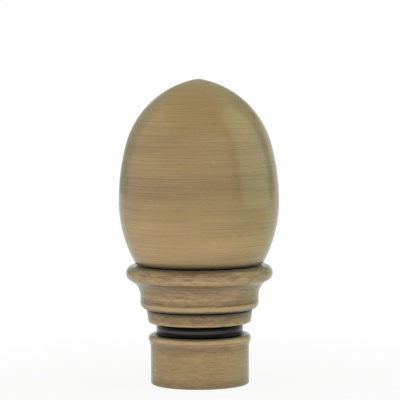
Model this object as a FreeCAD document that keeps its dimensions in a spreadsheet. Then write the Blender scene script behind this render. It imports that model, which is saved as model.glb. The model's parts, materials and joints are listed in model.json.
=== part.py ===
"""Curtain pole finial: an egg-shaped knob turned in one piece with its moulded collar, neck and pole socket.

Millimetres, +Z up. The origin is the centre of the socket's mouth, so the pole leaves along -Z.
A grub screw in the back of the socket, on the +Y side, holds the finial on its pole.
"""

import FreeCAD
import Part
import math
import os

import Sketcher
from FreeCAD import Placement, Rotation, Vector
from enum import IntEnum, auto

SIZES = {
    # the pole, and the socket that caps its end
    "pole_diameter": 28.0,
    "pole_clearance": 0.2,
    "socket_wall": 2.8,
    "socket_depth": 14.5,
    "socket_straight": 12.35,
    "socket_flare_height": 3.3,
    "socket_bead_swell": 0.75,
    "socket_bead_round": 0.6,
    "socket_shoulder_round": 1.55,
    "socket_lid_width": 0.1,
    "mouth_chamfer": 0.6,
    "mouth_round": 0.4,
    # the neck, a hollow groove between socket and collar
    "neck_foot_round": 1.1,
    "neck_straight": 1.45,
    "neck_top_round": 1.5,
    # the collar, from its lowest band out to the bead under the egg
    "band_ledge": 1.2,
    "band_outset": 0.7,
    "band_height": 4.8,
    "band_round": 0.8,
    "waist_round": 2.05,
    "waist_straight": 2.4,
    "cove_height": 7.9,
    "bead_reach": 4.9,
    "bead_radius": 2.75,
    # the egg, and the slit that sets it off from the collar
    "slit_height": 0.5,
    "slit_depth": 1.2,
    "egg_diameter": 55.3,
    "egg_seat_inset": 5.65,
    "egg_seat_round": 0.4,
    "egg_belly_height": 21.7,
    "egg_flank_height": 19.6,
    "egg_flank_inset": 2.6,
    "egg_crown_height": 22.3,
    "egg_tip_radius": 5.0,
    # the grub screw and its tapped hole
    "screw_diameter": 4.0,
    "screw_length": 3.0,
    "screw_chamfer": 0.35,
    "screw_key": 2.0,
    "screw_key_depth": 1.4,
    "screw_cup_diameter": 2.0,
    "screw_cup_depth": 0.6,
    "screw_height": 7.0,
    "screw_setback": 0.1,
    "thread_clearance": 0.05,
    "hole_countersink": 0.4,
}


class Length:
    """A length and the sheet expression that drives it, which are added, taken away and halved together."""

    def __init__(self, value, text):
        self.value = value
        self.text = text

    def __add__(self, other):
        return Length(self.value + other.value, f"{self.text} + {other.text}")

    def __sub__(self, other):
        return Length(self.value - other.value, f"{self.text} - ({other.text})")

    def half(self):
        return Length(self.value / 2, f"({self.text}) / 2")


def size(name):
    """One cell of the sheet, as a length."""
    return Length(SIZES[name], f"Sizes.{name}")


# Radii, from the pole outwards. The collar's mouldings step out from the socket's wall.
bore_radius = size("pole_diameter").half() + size("pole_clearance")
socket_radius = bore_radius + size("socket_wall")
socket_bead_radius = socket_radius + size("socket_bead_swell")
socket_lid_radius = socket_bead_radius - size("socket_shoulder_round")
neck_foot_radius = socket_lid_radius - size("socket_lid_width")
neck_radius = neck_foot_radius - size("neck_foot_round")
ledge_radius = neck_radius + size("neck_top_round")
band_low_radius = ledge_radius + size("band_ledge")
band_high_radius = band_low_radius + size("band_outset")
waist_radius = band_high_radius + size("waist_round")
bead_middle_radius = waist_radius + size("bead_reach") - size("bead_radius")
egg_radius = size("egg_diameter").half()
egg_seat_radius = egg_radius - size("egg_seat_inset")
spigot_radius = egg_seat_radius - size("slit_depth")

# Heights, from the mouth upwards.
socket_bead_height = size("socket_straight") + size("socket_flare_height")
socket_top = socket_bead_height + size("socket_shoulder_round")
neck_start = socket_top + size("neck_foot_round")
neck_end = neck_start + size("neck_straight")
band_start = neck_end + size("neck_top_round")
waist_start = band_start + size("band_height")
cove_start = waist_start + size("waist_round") + size("waist_straight")
bead_height = cove_start + size("cove_height")
collar_top = bead_height + size("bead_radius")
egg_seat = collar_top + size("slit_height")
egg_equator = egg_seat + size("egg_belly_height")
egg_shoulder = egg_equator + size("egg_flank_height")
egg_top = egg_shoulder + size("egg_crown_height")


def make_sheet(doc):
    """Writes the driving dimensions into a spreadsheet, one aliased cell each."""
    sheet = doc.addObject("Spreadsheet::Sheet", "Sizes")
    for row, (name, value) in enumerate(SIZES.items(), start=1):
        sheet.set(f"A{row}", name.replace("_", " "))
        sheet.set(f"B{row}", str(value))
        sheet.setAlias(f"B{row}", name)
    doc.recompute()


def origin_plane(body, role):
    """The body's own origin plane with that role."""
    return next(plane for plane in body.Origin.OriginFeatures if plane.Role == role)


def arc_radius(rise, inset):
    """Radius of an arc that starts upright and has moved sideways by the inset when it has risen."""
    return (rise ** 2 + inset ** 2) / (2 * inset)


def between(start, end, share):
    """The point that lies a share of the way from one point to another, or past it."""
    return [a + (b - a) * share for a, b in zip(start, end)]


class Spot(IntEnum):
    """The points of a run, in the order in which a sketch numbers them."""

    START = auto()
    END = auto()
    CENTRE = auto()


class Outline:
    """A closed half-section in a sketch: runs of line and arc in order, with every joint constrained."""

    def __init__(self, body, name, plane="XZ_Plane"):
        self.body = body
        self.sketch = body.newObject("Sketcher::SketchObject", name)
        self.sketch.AttachmentSupport = (origin_plane(body, plane), "")
        self.sketch.MapMode = "FlatFace"
        self.runs = []

    def line(self, start, end):
        """Adds a straight run and returns its number."""
        line = Part.LineSegment(Vector(*start, 0), Vector(*end, 0))
        self.runs.append((self.sketch.addGeometry(line, False), Spot.START, Spot.END))
        return len(self.runs) - 1

    def arc(self, centre, start, end, left_turn=True):
        """Adds an arc about a centre, which turns left or right on its way, and returns its number."""
        first, last = (start, end) if left_turn else (end, start)
        angles = [math.atan2(y - centre[1], x - centre[0]) for x, y in (first, last)]
        circle = Part.Circle(Vector(*centre, 0), Vector(0, 0, 1), math.dist(centre, start))
        index = self.sketch.addGeometry(Part.ArcOfCircle(circle, *angles), False)
        ends = (Spot.START, Spot.END) if left_turn else (Spot.END, Spot.START)
        self.runs.append((index, *ends))
        return len(self.runs) - 1

    def start(self, run):
        """The first point of a run, as the sketch names it."""
        return self.runs[run][0], self.runs[run][1]

    def end(self, run):
        """The last point of a run, as the sketch names it."""
        return self.runs[run][0], self.runs[run][2]

    def centre(self, run):
        """The centre of an arc, as the sketch names it."""
        return self.runs[run][0], Spot.CENTRE

    def origin(self):
        """The sketch's own origin, as the sketch names it."""
        return -1, Spot.START

    def rule(self, kind, *numbers):
        """Adds a constraint between runs or points and returns its number."""
        return self.sketch.addConstraint(Sketcher.Constraint(kind, *numbers))

    def level(self, *runs):
        """Makes runs horizontal."""
        for run in runs:
            self.rule("Horizontal", self.runs[run][0])

    def upright(self, *runs):
        """Makes runs vertical."""
        for run in runs:
            self.rule("Vertical", self.runs[run][0])

    def on_floor(self, point):
        """Keeps a point on the sketch's horizontal axis."""
        self.rule("PointOnObject", *point, -1)

    def on_axis(self, point):
        """Keeps a point on the sketch's vertical axis."""
        self.rule("PointOnObject", *point, -2)

    def close(self, smooth=()):
        """Joins each run to the next, the last to the first, smoothly after the runs that are named."""
        for run in range(len(self.runs)):
            kind = "Tangent" if run in smooth else "Coincident"
            self.rule(kind, *self.end(run), *self.start((run + 1) % len(self.runs)))

    def drive(self, index, length):
        """Binds a dimension to the sheet."""
        name = f"size_{index}"
        self.sketch.renameConstraint(index, name)
        self.sketch.setExpression(f"Constraints.{name}", length.text)

    def across(self, point, length):
        """Sets a point's distance from the axis."""
        self.drive(self.rule("DistanceX", *self.origin(), *point, length.value), length)

    def up(self, point, length):
        """Sets a point's height above the origin."""
        self.drive(self.rule("DistanceY", *self.origin(), *point, length.value), length)

    def place(self, point, across, up):
        """Sets both the distance from the axis and the height of a point."""
        self.across(point, across)
        self.up(point, up)

    def radius(self, run, length):
        """Sets an arc's radius."""
        self.drive(self.rule("Radius", self.runs[run][0], length.value), length)

    def revolve(self, kind, name, axis="V_Axis"):
        """Turns the half-section about an axis of the sketch, as a PartDesign Revolution or Groove."""
        feature = self.body.newObject(f"PartDesign::{kind}", name)
        feature.Profile = self.sketch
        feature.ReferenceAxis = (self.sketch, [axis])
        feature.Angle = 360.0
        self.body.Document.recompute()
        return feature


def make_socket(body):
    """The socket: a straight wall that flares into a small bead under a rounded shoulder."""
    wall, widest, top = socket_radius.value, socket_bead_radius.value, socket_top.value
    straight, height = size("socket_straight").value, socket_bead_height.value
    bead_round, shoulder = size("socket_bead_round"), size("socket_shoulder_round")

    # The hollow flare leaves the wall upright and meets the bead smoothly, which leaves it one radius.
    rise, swell = size("socket_flare_height").value, size("socket_bead_swell").value
    flare = arc_radius(rise, swell) - bead_round.value
    flare_centre = (wall + flare, straight)
    bead_centre = (widest - bead_round.value, height)
    meeting = between(flare_centre, bead_centre, flare / (flare + bead_round.value))
    lid_edge = socket_lid_radius.value

    outline = Outline(body, "socket_profile")
    rim = outline.line((0, 0), (wall, 0))
    side = outline.line((wall, 0), (wall, straight))
    hollow = outline.arc(flare_centre, (wall, straight), meeting, left_turn=False)
    bead = outline.arc(bead_centre, meeting, (widest, height))
    crown = outline.arc((lid_edge, height), (widest, height), (lid_edge, top))
    lid = outline.line((lid_edge, top), (0, top))
    spine = outline.line((0, top), (0, 0))
    outline.close(smooth=(side, hollow, bead, crown))
    outline.level(rim, lid)
    outline.upright(side, spine)
    outline.rule("Coincident", *outline.start(rim), *outline.origin())
    outline.rule("Horizontal", *outline.centre(bead), *outline.end(bead))
    outline.across(outline.end(rim), socket_radius)
    outline.up(outline.end(side), size("socket_straight"))
    outline.place(outline.end(bead), socket_bead_radius, socket_bead_height)
    outline.radius(bead, bead_round)
    outline.radius(crown, shoulder)
    return outline.revolve("Revolution", "socket")


def make_collar(body):
    """The hollow neck and the collar: lower band, waist over a quarter-round, cove and the bead on top."""
    neck, waist, middle = neck_radius.value, waist_radius.value, bead_middle_radius.value
    neck_foot, ledge_edge = neck_foot_radius.value, ledge_radius.value
    neck_low, neck_high = neck_start.value, neck_end.value
    low, high = band_low_radius.value, band_high_radius.value
    bottom, top = socket_top.value, collar_top.value
    band_z, waist_z, cove_z = band_start.value, waist_start.value, cove_start.value
    quarter_top = waist_z + size("waist_round").value
    bead = size("bead_radius").value

    # The cove leaves the waist upright and runs smoothly into the bead, which leaves it one radius.
    cove = arc_radius(size("cove_height").value, size("bead_reach").value) - bead
    cove_centre = (waist + cove, cove_z)
    bead_centre = (middle, bead_height.value)
    meeting = between(cove_centre, bead_centre, cove / (cove + bead))

    outline = Outline(body, "collar_profile")
    foot = outline.line((0, bottom), (neck_foot, bottom))
    neck_lower = outline.arc((neck_foot, neck_low), (neck_foot, bottom), (neck, neck_low), left_turn=False)
    neck_side = outline.line((neck, neck_low), (neck, neck_high))
    neck_upper = outline.arc((ledge_edge, neck_high), (neck, neck_high), (ledge_edge, band_z), left_turn=False)
    ledge = outline.line((ledge_edge, band_z), (low, band_z))
    band = outline.line((low, band_z), (high, waist_z))
    quarter = outline.arc((high, quarter_top), (high, waist_z), (waist, quarter_top))
    girth = outline.line((waist, quarter_top), (waist, cove_z))
    hollow = outline.arc(cove_centre, (waist, cove_z), meeting, left_turn=False)
    roll = outline.arc(bead_centre, meeting, (middle, top))
    lid = outline.line((middle, top), (0, top))
    spine = outline.line((0, top), (0, bottom))
    outline.close(smooth=(neck_lower, neck_side, neck_upper, quarter, girth, hollow, roll))
    outline.level(foot, ledge, lid)
    outline.upright(neck_side, girth, spine)
    outline.on_axis(outline.start(foot))
    outline.rule("Vertical", *outline.centre(quarter), *outline.start(quarter))
    outline.rule("Vertical", *outline.centre(neck_lower), *outline.start(neck_lower))
    outline.place(outline.end(foot), neck_foot_radius, socket_top)
    outline.across(outline.end(neck_lower), neck_radius)
    outline.up(outline.end(neck_side), neck_end)
    outline.up(outline.end(neck_upper), band_start)
    outline.across(outline.end(ledge), band_low_radius)
    outline.place(outline.end(band), band_high_radius, waist_start)
    outline.across(outline.end(quarter), waist_radius)
    outline.up(outline.end(girth), cove_start)
    outline.radius(roll, size("bead_radius"))
    outline.place(outline.centre(roll), bead_middle_radius, bead_height)
    return outline.revolve("Revolution", "collar")


def make_egg(body):
    """The egg on a short spigot: four smooth arcs from its seat, over the widest ring, to the round tip."""
    bottom, seat_z, top = collar_top.value, egg_seat.value, egg_top.value
    spigot, seat = spigot_radius.value, egg_seat_radius.value
    tip = size("egg_tip_radius").value
    equator = (egg_radius.value, egg_equator.value)
    flank_end = (egg_radius.value - size("egg_flank_inset").value, egg_shoulder.value)
    apex = (0, top)

    # Below and above the widest ring an arc starts upright there.
    belly = arc_radius(size("egg_belly_height").value, size("egg_seat_inset").value)
    belly_centre = (equator[0] - belly, equator[1])
    flank = arc_radius(size("egg_flank_height").value, size("egg_flank_inset").value)
    flank_centre = (equator[0] - flank, equator[1])

    # The shoulder goes on smoothly from the flank's end and holds the tip's circle inside it.
    normal = [(a - b) / flank for a, b in zip(flank_end, flank_centre)]
    tip_centre = (0, top - tip)
    apart = [a - b for a, b in zip(flank_end, tip_centre)]
    along = apart[0] * normal[0] + apart[1] * normal[1]
    shoulder = (math.hypot(*apart) ** 2 - tip ** 2) / (2 * (along - tip))
    shoulder_centre = [a - shoulder * b for a, b in zip(flank_end, normal)]
    shoulder_end = between(shoulder_centre, tip_centre, shoulder / (shoulder - tip))

    outline = Outline(body, "egg_profile")
    foot = outline.line((0, bottom), (spigot, bottom))
    root = outline.line((spigot, bottom), (spigot, seat_z))
    ledge = outline.line((spigot, seat_z), (seat, seat_z))
    underside = outline.arc(belly_centre, (seat, seat_z), equator)
    side = outline.arc(flank_centre, equator, flank_end)
    crown = outline.arc(shoulder_centre, flank_end, shoulder_end)
    cap = outline.arc(tip_centre, shoulder_end, apex)
    spine = outline.line(apex, (0, bottom))
    outline.close(smooth=(underside, side, crown))
    outline.level(foot, ledge)
    outline.upright(root, spine)
    outline.on_axis(outline.start(foot))
    outline.on_axis(outline.centre(cap))
    outline.rule("Horizontal", *outline.centre(underside), *outline.end(underside))
    outline.place(outline.end(foot), spigot_radius, collar_top)
    outline.up(outline.end(root), egg_seat)
    outline.across(outline.end(ledge), egg_seat_radius)
    outline.place(outline.end(underside), egg_radius, egg_equator)
    outline.place(outline.end(side), egg_radius - size("egg_flank_inset"), egg_shoulder)
    outline.radius(cap, size("egg_tip_radius"))
    outline.up(outline.end(cap), egg_top)
    return outline.revolve("Revolution", "egg")


def bore_socket(body):
    """The blind bore that slips over the pole, with a lead-in at its mouth."""
    chamfer, depth = size("mouth_chamfer"), size("socket_depth")
    mouth = bore_radius + chamfer
    bore = bore_radius.value

    outline = Outline(body, "bore_profile")
    opening = outline.line((0, 0), (mouth.value, 0))
    lead = outline.line((mouth.value, 0), (bore, chamfer.value))
    wall = outline.line((bore, chamfer.value), (bore, depth.value))
    end = outline.line((bore, depth.value), (0, depth.value))
    spine = outline.line((0, depth.value), (0, 0))
    outline.close()
    outline.level(opening, end)
    outline.upright(wall, spine)
    outline.rule("Coincident", *outline.start(opening), *outline.origin())
    outline.across(outline.end(opening), mouth)
    outline.place(outline.end(lead), bore_radius, chamfer)
    outline.up(outline.end(wall), depth)
    return outline.revolve("Groove", "bore")


def drill_screw_hole(body):
    """The tapped hole through the back of the socket, countersunk outside. It runs out along +Y."""
    height, sink = size("screw_height"), size("hole_countersink")
    hole_edge = height + size("screw_diameter").half() + size("thread_clearance")
    inside, outside = socket_radius - sink, socket_radius + sink
    sink_edge = hole_edge + sink + sink

    outline = Outline(body, "screw_hole_profile", plane="YZ_Plane")
    axis = outline.line((0, height.value), (outside.value, height.value))
    face = outline.line((outside.value, height.value), (outside.value, sink_edge.value))
    cone = outline.line((outside.value, sink_edge.value), (inside.value, hole_edge.value))
    wall = outline.line((inside.value, hole_edge.value), (0, hole_edge.value))
    back = outline.line((0, hole_edge.value), (0, height.value))
    outline.close()
    outline.level(axis, wall)
    outline.upright(face, back)
    outline.on_axis(outline.start(axis))
    outline.place(outline.end(axis), outside, height)
    outline.up(outline.end(face), sink_edge)
    outline.place(outline.end(cone), inside, hole_edge)
    return outline.revolve("Groove", "screw_hole", axis=f"Edge{axis + 1}")


def round_ring(body, before, name, radius, height, amount):
    """Rounds the ring edge about the finial's axis that has that radius and lies at that height."""
    rings = [
        f"Edge{number}"
        for number, edge in enumerate(before.Shape.Edges, start=1)
        if not edge.Degenerated
        and isinstance(edge.Curve, Part.Circle)
        and math.isclose(edge.Curve.Radius, radius, abs_tol=1e-4)
        and math.isclose(edge.Curve.Center.z, height, abs_tol=1e-4)
    ]
    fillet = body.newObject("PartDesign::Fillet", name)
    fillet.Base = (before, rings)
    fillet.setExpression("Radius", size(amount).text)
    body.Document.recompute()
    return fillet


def make_finial(doc):
    """The whole turned piece, then its bore and its screw hole."""
    body = doc.addObject("PartDesign::Body", "finial")
    body.Placement = Placement(Vector(0, 0, 0), Rotation())
    make_socket(body)
    make_collar(body)
    last = make_egg(body)
    last = round_ring(body, last, "mouth_fillet", socket_radius.value, 0.0, "mouth_round")
    last = round_ring(body, last, "band_fillet", band_low_radius.value, band_start.value, "band_round")
    last = round_ring(body, last, "seat_fillet", egg_seat_radius.value, egg_seat.value, "egg_seat_round")
    turned = last.Shape.Volume
    bored = bore_socket(body).Shape.Volume
    drilled = drill_screw_hole(body).Shape.Volume
    if not drilled < bored < turned:
        raise RuntimeError("the bore or the screw hole removed nothing")
    return body


def make_grub_screw(doc):
    """The set screw, built along its own Z from its cup point and laid along +Y behind the socket."""
    body = doc.addObject("PartDesign::Body", "grub_screw")
    radius, length, chamfer = size("screw_diameter").half(), size("screw_length"), size("screw_chamfer")
    cup, cup_depth = size("screw_cup_diameter").half(), size("screw_cup_depth")
    shoulder, side_top = radius - chamfer, length - chamfer

    outline = Outline(body, "screw_profile")
    cone = outline.line((0, cup_depth.value), (cup.value, 0))
    point = outline.line((cup.value, 0), (shoulder.value, 0))
    lower = outline.line((shoulder.value, 0), (radius.value, chamfer.value))
    side = outline.line((radius.value, chamfer.value), (radius.value, side_top.value))
    upper = outline.line((radius.value, side_top.value), (shoulder.value, length.value))
    face = outline.line((shoulder.value, length.value), (0, length.value))
    spine = outline.line((0, length.value), (0, cup_depth.value))
    outline.close()
    outline.level(point, face)
    outline.upright(side, spine)
    outline.on_axis(outline.start(cone))
    outline.on_floor(outline.start(point))
    outline.up(outline.start(cone), cup_depth)
    outline.across(outline.end(cone), cup)
    outline.across(outline.end(point), shoulder)
    outline.place(outline.end(lower), radius, chamfer)
    outline.up(outline.end(side), side_top)
    outline.place(outline.end(upper), shoulder, length)
    shank = outline.revolve("Revolution", "shank")

    key = body.newObject("PartDesign::SubtractivePrism", "key_socket")
    key.AttachmentSupport = (origin_plane(body, "XY_Plane"), "")
    key.MapMode = "FlatFace"
    key.Polygon = 6
    key.setExpression("Circumradius", "Sizes.screw_key / sqrt(3)")
    key.setExpression("Height", "Sizes.screw_key_depth")
    key.setExpression("AttachmentOffset.Base.z", "Sizes.screw_length - Sizes.screw_key_depth")
    doc.recompute()
    if not key.Shape.Volume < shank.Shape.Volume:
        raise RuntimeError("the key socket removed nothing")

    point_out = bore_radius + size("screw_setback")
    body.Placement = Placement(Vector(0, 0, 0), Rotation(Vector(1, 0, 0), -90))
    body.setExpression("Placement.Base.y", point_out.text)
    body.setExpression("Placement.Base.z", size("screw_height").text)
    doc.recompute()
    return body


def write_parts(doc, bodies):
    """Checks every object and writes each body to its own STEP file."""
    for item in doc.Objects:
        if {"Invalid", "Error"} & set(item.State):
            raise RuntimeError(f"{item.Label} did not recompute: {item.State}")
    os.makedirs("parts", exist_ok=True)
    for body in bodies:
        if body.Shape.isNull() or not body.Shape.isValid():
            raise RuntimeError(f"{body.Label} has no valid shape")
        body.Shape.exportStep(f"parts/{body.Label}.step")
        print(f"{body.Label}: {body.Shape.Volume:.1f} mm3")


document = FreeCAD.newDocument("finial")
make_sheet(document)
write_parts(document, [make_finial(document), make_grub_screw(document)])
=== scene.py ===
"""A turned curtain pole finial in antique brass, standing on its socket in a white light tent.

The finial and its grub screw are surfaces worked out in numpy and stand for the two solids of the frame.
Sizes are in millimetres, in the frame's own axes: +Z up along the turning axis, the mouth of the socket at
the origin, the grub screw at the back on +Y.
"""

from __future__ import annotations

import json
import logging
import math
from dataclasses import dataclass, field
from enum import Enum
from typing import Any

import bpy
import numpy as np
from bpy.types import Material, Node, NodeSocket, NodeTree, Object
from mathutils import Matrix, Vector

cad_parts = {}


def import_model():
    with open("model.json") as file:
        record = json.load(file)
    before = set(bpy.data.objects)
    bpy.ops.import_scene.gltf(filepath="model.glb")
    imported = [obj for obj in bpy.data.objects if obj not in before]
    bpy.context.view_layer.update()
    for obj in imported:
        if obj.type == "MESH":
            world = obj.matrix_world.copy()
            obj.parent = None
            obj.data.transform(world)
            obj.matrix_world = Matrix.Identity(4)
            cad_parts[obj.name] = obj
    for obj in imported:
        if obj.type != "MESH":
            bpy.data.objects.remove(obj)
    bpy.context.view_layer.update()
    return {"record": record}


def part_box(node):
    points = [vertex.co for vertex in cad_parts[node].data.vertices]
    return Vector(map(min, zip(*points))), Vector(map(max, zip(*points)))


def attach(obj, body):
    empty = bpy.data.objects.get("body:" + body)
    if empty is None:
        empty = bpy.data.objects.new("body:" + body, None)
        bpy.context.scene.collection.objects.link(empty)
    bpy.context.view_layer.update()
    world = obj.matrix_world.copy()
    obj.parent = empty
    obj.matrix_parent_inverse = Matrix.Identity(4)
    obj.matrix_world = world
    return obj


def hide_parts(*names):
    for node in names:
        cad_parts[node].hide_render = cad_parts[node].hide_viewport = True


LOG = logging.getLogger("finial")
MM = 0.001
TURN = 2 * math.pi
BODY = "root"
# The name of the map of the surface that is ready to bake into.
BAKE_MAP = "OFBake"
# Faces whose patina is nowhere below this take the finish of the grooves.
GROOVE = 0.85

Point = tuple[float, float]
Place = tuple[float, float, float]


class Stroke(Enum):
    """How a stretch was brushed, as the share of short strokes.

    Long strokes go round the egg, both kinds are on the socket and short ones on the collar, most of all on
    its bead.
    """

    LONG = 0.0
    MIXED = 0.5
    SHORT = 1.0
    ROUGH = 1.45


def linear(hex_colour: str) -> tuple[float, float, float, float]:
    """Turns an sRGB hex colour to the linear colour that a shader socket takes.

    Args:
        hex_colour: The colour as "#RRGGBB".

    Returns:
        Linear red, green and blue, and an alpha of 1.
    """
    values = [int(hex_colour[i : i + 2], 16) / 255 for i in (1, 3, 5)]
    red, green, blue = (v / 12.92 if v <= 0.04045 else ((v + 0.055) / 1.055) ** 2.4 for v in values)
    return red, green, blue, 1.0


def add(tree: NodeTree, kind: str, links: dict[str, Any] | None = None, **settings: Any) -> Node:
    """Adds a node with its settings and links.

    Args:
        tree: The node tree that the node joins.
        kind: The node's type, without its common beginning.
        links: For an input's identifier, the value that it holds, or the output or the node that feeds it. A
            node feeds it from the first of its outputs that is in use.
        **settings: The node's own properties.

    Returns:
        The new node.
    """
    node = tree.nodes.new(f"ShaderNode{kind}")
    for name, value in settings.items():
        setattr(node, name, value)
    for name, value in (links or {}).items():
        socket = next(s for s in node.inputs if s.identifier == name)
        if isinstance(value, Node):
            value = next(s for s in value.outputs if s.enabled)
        if isinstance(value, NodeSocket):
            tree.links.new(value, socket)
        else:
            socket.default_value = value
    return node


def new_material(name: str) -> Material:
    """Makes a material with an empty node tree.

    Args:
        name: The material's name.

    Returns:
        The material.
    """
    made = bpy.data.materials.new(name)
    made.use_nodes = True
    made.node_tree.nodes.clear()
    return made


def new_object(name: str, data: bpy.types.ID) -> Object:
    """Makes an object of a mesh, a light or a camera.

    Args:
        name: The object's name.
        data: What it shows.

    Returns:
        The object, linked to the scene.
    """
    made = bpy.data.objects.new(name, data)
    bpy.context.scene.collection.objects.link(made)
    return made


def ranges(source: Point, target: Point = (0.0, 1.0)) -> dict[str, float]:
    """The inputs of a node that maps a source range to a target range."""
    return {"From Min": source[0], "From Max": source[1], "To Min": target[0], "To Max": target[1]}


@dataclass(frozen=True)
class Marks:
    """One kind of brush marks.

    Attributes:
        reach_deg: Length of a mark in degrees of turn.
        width_mm: Width of a mark.
        amount: How far the marks swing, from lowest to highest.
        detail: How many finer layers of marks are in them.
        grit: How strong the finer layers are.
    """

    reach_deg: float
    width_mm: float
    amount: float
    detail: float = 2.0
    grit: float = 0.55

    def over(self, tree: NodeTree, base: Node | NodeSocket | float) -> Node:
        """Adds the marks to a value, as noise that is drawn out round the turn and thin along the profile.

        Args:
            tree: The material's node tree.
            base: The value that they are added to.

        Returns:
            The node that gives the base plus amount * (noise - a half).
        """
        turn = math.degrees(1) / self.reach_deg
        brush = add(tree, "Attribute", attribute_name="brush").outputs["Vector"]
        drawn = add(tree, "Mapping", {"Vector": brush, "Scale": (turn, turn, 1 / self.width_mm)})
        layers = {"Scale": 1.0, "Detail": self.detail, "Roughness": self.grit}
        noise = add(tree, "TexNoise", {"Vector": drawn, **layers})
        centred = add(tree, "Math", {"Value": noise, "Value_001": 0.5}, operation="SUBTRACT")
        terms = {"Value": centred, "Value_001": self.amount, "Value_002": base}
        return add(tree, "Math", terms, operation="MULTIPLY_ADD")


def arc_radius(rise: float, inset: float) -> float:
    """Radius of an arc that starts upright and moves sideways by the inset as it rises, from its chord."""
    return (rise**2 + inset**2) / (2 * inset)


def between(start: Point, end: Point, share: float) -> Point:
    """The point that lies a share of the way from one point to another, or past it."""
    return start[0] + (end[0] - start[0]) * share, start[1] + (end[1] - start[1]) * share


@dataclass
class Run:
    """One stretch of the turned profile, from the end of the last: an arc if it has a centre, else a line.

    Attributes:
        end: Radius and height of its last point.
        centre: The arc's centre, or None.
        step: The longest distance between two rings.
        patina: Even steps of tone along it: below 0 rubbed bright, 0 brushed, 0.4 brown,
            1 black, past 1 black that is rubbed to dark metal. Some stretches carry painted light as well:
            painted highlights on edges and on the neck, and painted light and shade along the egg and
            socket.
        stroke: How it was brushed.
        pierced: True where the screw's hole goes through it.
    """

    end: Point
    centre: Point | None = None
    step: float = 0.5
    patina: tuple[float, ...] = (0.0,)
    stroke: Stroke = Stroke.SHORT
    pierced: bool = False

    def rings(self, start: Point) -> np.ndarray:
        """Radius and height of the rings of this stretch, without its first one.

        Points go evenly along the line, or along the arc as centre + radius * (cos, sin) of an even angle,
        the short way round.

        Args:
            start: Where the stretch before this one ended.

        Returns:
            An array of radius and height, one row a ring.
        """
        first, last = np.array(start), np.array(self.end)
        if self.centre is None:
            count = max(1, math.ceil(math.dist(start, self.end) / self.step))
            return first + (last - first) * np.linspace(0, 1, count + 1)[1:, None]
        middle = np.array(self.centre)
        begin, stop = (math.atan2(*(p - middle)[::-1]) for p in (first, last))
        sweep = (stop - begin + math.pi) % TURN - math.pi
        radius = math.dist(start, self.centre)
        count = max(3, math.ceil(abs(sweep) * radius / self.step))
        angle = begin + sweep * np.linspace(0, 1, count + 1)[1:]
        return middle + radius * np.stack([np.cos(angle), np.sin(angle)], axis=1)


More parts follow.
